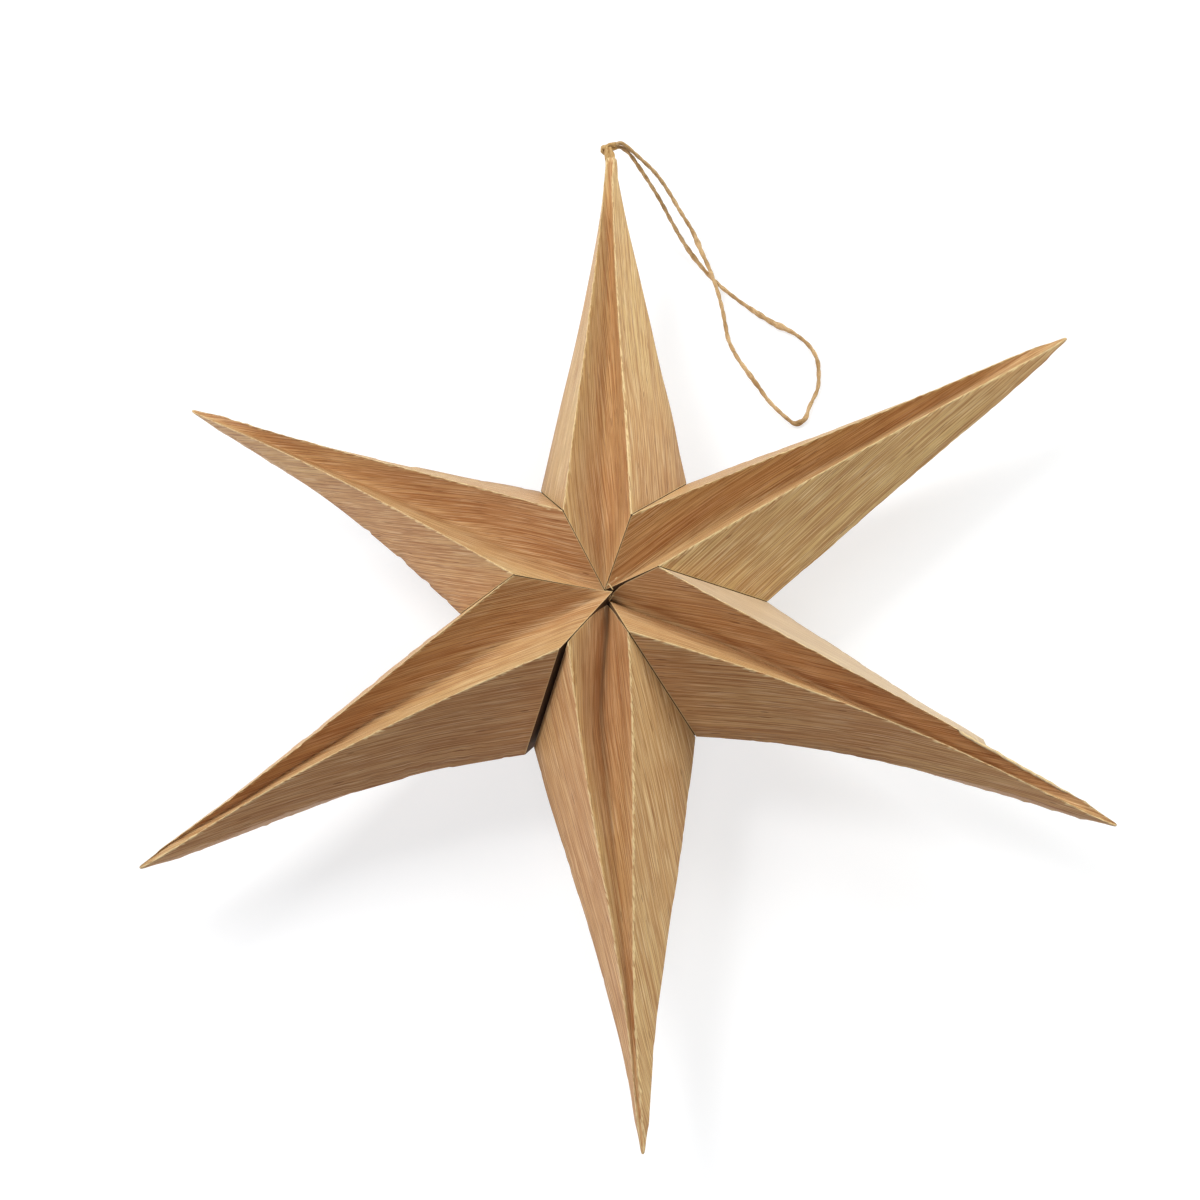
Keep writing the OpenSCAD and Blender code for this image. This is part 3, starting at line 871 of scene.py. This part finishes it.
def addHairs(mesh, line, headings, frames, look, runMap, seed, count):
    luck = random.Random(seed)
    stops = look["hairStops"]
    radii = [look["hairRadius"] * s for s in look["hairTaper"]]
    for _ in range(count):
        k = luck.randrange(look["hairEnds"], len(line) - look["hairEnds"])
        a, b = frames[k]
        turn = luck.uniform(0, 2 * math.pi)
        outward = math.cos(turn) * a + math.sin(turn) * b
        length = luck.uniform(*look["hairLength"])
        lean = luck.choice((-1, 1)) * luck.uniform(*look["hairLean"])
        start = line[k] + outward * look["diameter"] * look["hairRoot"]
        heading = headings[k] * lean + outward * luck.uniform(*look["hairRise"])
        heading /= np.linalg.norm(heading)
        bend = np.array([luck.uniform(-1, 1) for _ in range(3)]) * look["hairCurl"]
        points = [start + heading * length * t + bend * length * t * t for t in stops]
        away = min(np.linalg.norm(line - points[-1], axis=1))
        if min(p[2] for p in points) < look["hairFloor"] or away > look["hairReach"]:
            continue
        sweep(mesh, points, radii, [frames[k]] * len(stops), look["hairSides"], runMap, range(len(stops)))


# jute: dull golden brown bast fibre, softly twisted, with slanting strands and a little fluff
jute = {
    "light": "#cdad82",
    "dark": "#a07e54",
    "slant": 0.25,  # radians
    "strandRun": 2,  # mm along the twine
    "strands": 9,  # round a ply
    "patch": 8.333,  # mm, slow change of tone
    "low": 0.7,
    "high": 1.3,
    "fibreDepth": 0.12,  # mm
    "bump": 0.6,
    "roughness": 0.75,
    "sheen": 0.2,
}
knotJute = {**jute, "light": "#d9b985", "dark": "#ad8654"}  # less handled, so paler


def juteMaterial(name, look):
    material, tree = newMaterial(name)
    run = addNode(tree, "ShaderNodeUVMap", uv_map="run")
    slant = addNode(tree, "ShaderNodeMapping",
                    {"Rotation": (0, 0, look["slant"]), "Scale": (1 / look["strandRun"], look["strands"], 1)},
                    {"Vector": run.outputs["UV"]})
    fibre = addNode(tree, "ShaderNodeTexNoise", {"Scale": 1, "Detail": 3, "Roughness": 0.7},
                    {"Vector": slant.outputs["Vector"]}, noise_dimensions="2D")
    length = addNode(tree, "ShaderNodeTexNoise", {"Scale": 1 / look["patch"], "Detail": 1},
                     {"Vector": run.outputs["UV"]}, noise_dimensions="2D")
    both = addNode(tree, "ShaderNodeMath", links={0: fibre.outputs["Fac"], 1: length.outputs["Fac"]},
                   operation="ADD")
    ramp = addNode(tree, "ShaderNodeMapRange", {"From Min": look["low"], "From Max": look["high"]},
                   {"Value": both.outputs[0]}, interpolation_type="SMOOTHSTEP")
    tone = addNode(tree, "ShaderNodeMix", {6: toLinear(look["dark"]), 7: toLinear(look["light"])},
                   {0: ramp.outputs["Result"]}, data_type="RGBA")
    bump = addNode(tree, "ShaderNodeBump", {"Strength": look["bump"], "Distance": look["fibreDepth"] * mm},
                   {"Height": fibre.outputs["Fac"]})
    surface = addNode(tree, "ShaderNodeBsdfPrincipled",
                      {"Roughness": look["roughness"], "Specular IOR Level": look["sheen"]},
                      {"Base Color": tone.outputs[2], "Normal": bump.outputs["Normal"]})
    addNode(tree, "ShaderNodeOutputMaterial", links={"Surface": surface.outputs["BSDF"]})
    return material


def makeTwine():
    mesh = bmesh.new()
    runMap = mesh.loops.layers.uv.new("run")
    line, headings, frames = layTwine(mesh, route, twine, runMap, twine["seeds"]["plies"], lumpGain)
    addHairs(mesh, line, headings, frames, twine, runMap, twine["seeds"]["hairs"], twine["hairs"])
    bmesh.ops.recalc_face_normals(mesh, faces=mesh.faces)
    piece = addPiece(mesh, "juteTwineLoop", juteMaterial("twistedJute", jute))
    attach(piece, "root")
    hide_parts("twine_loop")


def makeKnot():
    mesh = bmesh.new()
    runMap = mesh.loops.layers.uv.new("run")
    x, y, z = knotMiddle
    wound = []
    for t in np.linspace(0, knot["turns"] * 2 * math.pi, knot["points"]):
        ring = np.array([-math.cos(t), knot["knobDepth"] * math.sin(t), math.sin(t)]) * knot["knobRadius"]
        climb = np.array([0, knot["knobStart"] - knot["knobClimb"] * t, 0])
        wound.append(knotMiddle + np.array(knot["knob"]) + ring + climb)
    lines = [  # thickness against the loop's, then the points
        (1.1, wound),
        (1.4, [(x - 0.4, y - 7.5, z - 0.3), (x - 0.5, y - 5.4, z + 0.55), (x - 0.6, y - 3, z + 0.6),
               (x - 1.0, y - 1.7, z + 0.5), (x - 0.9, y - 0.5, z + 0.5)]),
        (1.4, [(x + 0.9, y - 7.5, z - 0.3), (x + 0.9, y - 5.4, z + 0.5), (x + 0.75, y - 3, z + 0.5),
               (x + 0.2, y - 1.7, z + 0.3), (x, y - 0.5, z + 0.2)]),
        (1.2, [(x - 0.9, y - 1.2, z + 0.3), (x - 0.7, y - 0.4, z + 0.5), (x + 0.2, y + 0.1, z + 0.7),
               (x + 1.2, y + 0.1, z + 0.8), (exitX, y, exitUp)]),
        (1.2, [(x, y - 1.5, z - 0.1), (x + 0.3, y - 0.7, z - 0.2), (x + 1.1, y - 0.35, z - 0.5),
               (exitX, y, exitDown)]),
        (1.1, [(x - 2.2, y - 1.6, z), (x - 2.0, y - 0.7, z + 0.3), (x - 1.2, y - 0.1, z + 0.5),
               (x - 0.2, y + 0.1, z + 0.2), (x + 0.9, y, z), (exitX, y, z)]),
        (1.1, [(x - 2.0, y - 1.9, z - 0.3), (x - 1.1, y - 2.0, z - 0.3), (x - 0.2, y - 2.0, z - 0.3),
               (x + 0.3, y - 1.5, z - 0.3)]),
    ]
    laid = [layTwine(mesh, points, twine, runMap, knot["seeds"]["plies"] + k, None, thick)
            for k, (thick, points) in enumerate(lines)]
    addHairs(mesh, *laid[0], twine, runMap, knot["seeds"]["hairs"], knot["hairs"])
    bmesh.ops.recalc_face_normals(mesh, faces=mesh.faces)
    piece = addPiece(mesh, "juteKnot", juteMaterial("paleJute", knotJute))
    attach(piece, "root")
    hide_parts("twine_knot")


makeTwine()
makeKnot()
print("twine laid")

# white sheet under the star; low soft lamps at both sides, two higher ones behind, a weak one in front
light = {
    "lamps": {  # places in mm
        "right": {"place": (988, 0, 186), "power": 3.2, "colour": "#fdfbd6", "gloss": True},
        "rightBehind": {"place": (586, 586, 589), "power": 6.0, "colour": "#f4faff", "gloss": False},
        "left": {"place": (-982, 0, 221), "power": 3.75, "colour": "#f3f9ff", "gloss": True},
        "leftBehind": {"place": (-406, 406, 849), "power": 7.35, "colour": "#ffffff", "gloss": False},
        "front": {"place": (148, -554, 819), "power": 2.05, "colour": "#f0f2ff", "gloss": False},
    },
    "lampSize": 450,  # mm
    "aim": (0, 0, 30),  # mm
    "world": 0.02,
    "white": "#ffffff",
    "sheet": "#f2f2f2",
    "sheetSeen": "#a4a4a4",  # the lit share of the white the camera sees, the glow gives the rest
    "sheetGlow": 0.7,
    "sheetReach": 4000,  # mm from the middle
    "sheetDrop": 0.3,  # mm, clear of the star's back
}


def makeLamp(name, lamp):
    data = bpy.data.lights.new(name, "AREA")
    data.energy = lamp["power"]
    data.size = light["lampSize"] * mm
    data.color = toLinear(lamp["colour"])[:3]
    piece = bpy.data.objects.new(name, data)
    place = Vector(lamp["place"]) * mm
    piece.location = place
    piece.visible_glossy = lamp["gloss"]
    piece.rotation_euler = (Vector(light["aim"]) * mm - place).to_track_quat("-Z", "Y").to_euler()
    scene.collection.objects.link(piece)


def seenRays(tree):
    # what the camera sees, straight, in a reflection or through something
    path = addNode(tree, "ShaderNodeLightPath").outputs
    mirrored = addNode(tree, "ShaderNodeMath", links={0: path["Is Camera Ray"], 1: path["Is Glossy Ray"]},
                       operation="MAXIMUM")
    return addNode(tree, "ShaderNodeMath", links={0: mirrored.outputs[0], 1: path["Is Transmission Ray"]},
                   operation="MAXIMUM").outputs[0]


def makeWorld():
    world = bpy.data.worlds.new("studio")
    scene.world = world
    world.use_nodes = True
    tree = world.node_tree
    tree.nodes.clear()
    soft, white = [addNode(tree, "ShaderNodeBackground",
                           {"Color": toLinear(light["white"]), "Strength": strength})
                   for strength in (light["world"], 1)]
    both = addNode(tree, "ShaderNodeMixShader",
                   links={0: seenRays(tree), 1: soft.outputs[0], 2: white.outputs[0]})
    addNode(tree, "ShaderNodeOutputWorld", links={"Surface": both.outputs[0]})


# matt white card: an even white ground that still takes the star's soft shadow
def sheetMaterial():
    material, tree = newMaterial("mattWhiteSheet")
    sheet, faint = [addNode(tree, "ShaderNodeBsdfDiffuse", {"Color": toLinear(light[tone])})
                    for tone in ("sheet", "sheetSeen")]
    glow = addNode(tree, "ShaderNodeEmission",
                   {"Color": toLinear(light["white"]), "Strength": light["sheetGlow"]})
    lifted = addNode(tree, "ShaderNodeAddShader", links={0: faint.outputs[0], 1: glow.outputs[0]})
    both = addNode(tree, "ShaderNodeMixShader",
                   links={0: seenRays(tree), 1: sheet.outputs[0], 2: lifted.outputs[0]})
    addNode(tree, "ShaderNodeOutputMaterial", links={"Surface": both.outputs[0]})
    return material


def makeSheet():
    mesh = bmesh.new()
    bmesh.ops.create_grid(mesh, x_segments=1, y_segments=1, size=light["sheetReach"] * mm)
    floor = addPiece(mesh, "whiteSheet", sheetMaterial())
    floor.location = (0, 0, -light["sheetDrop"] * mm)


for name, lamp in light["lamps"].items():
    makeLamp(name + "Softbox", lamp)
makeWorld()
makeSheet()
print("stage lit")
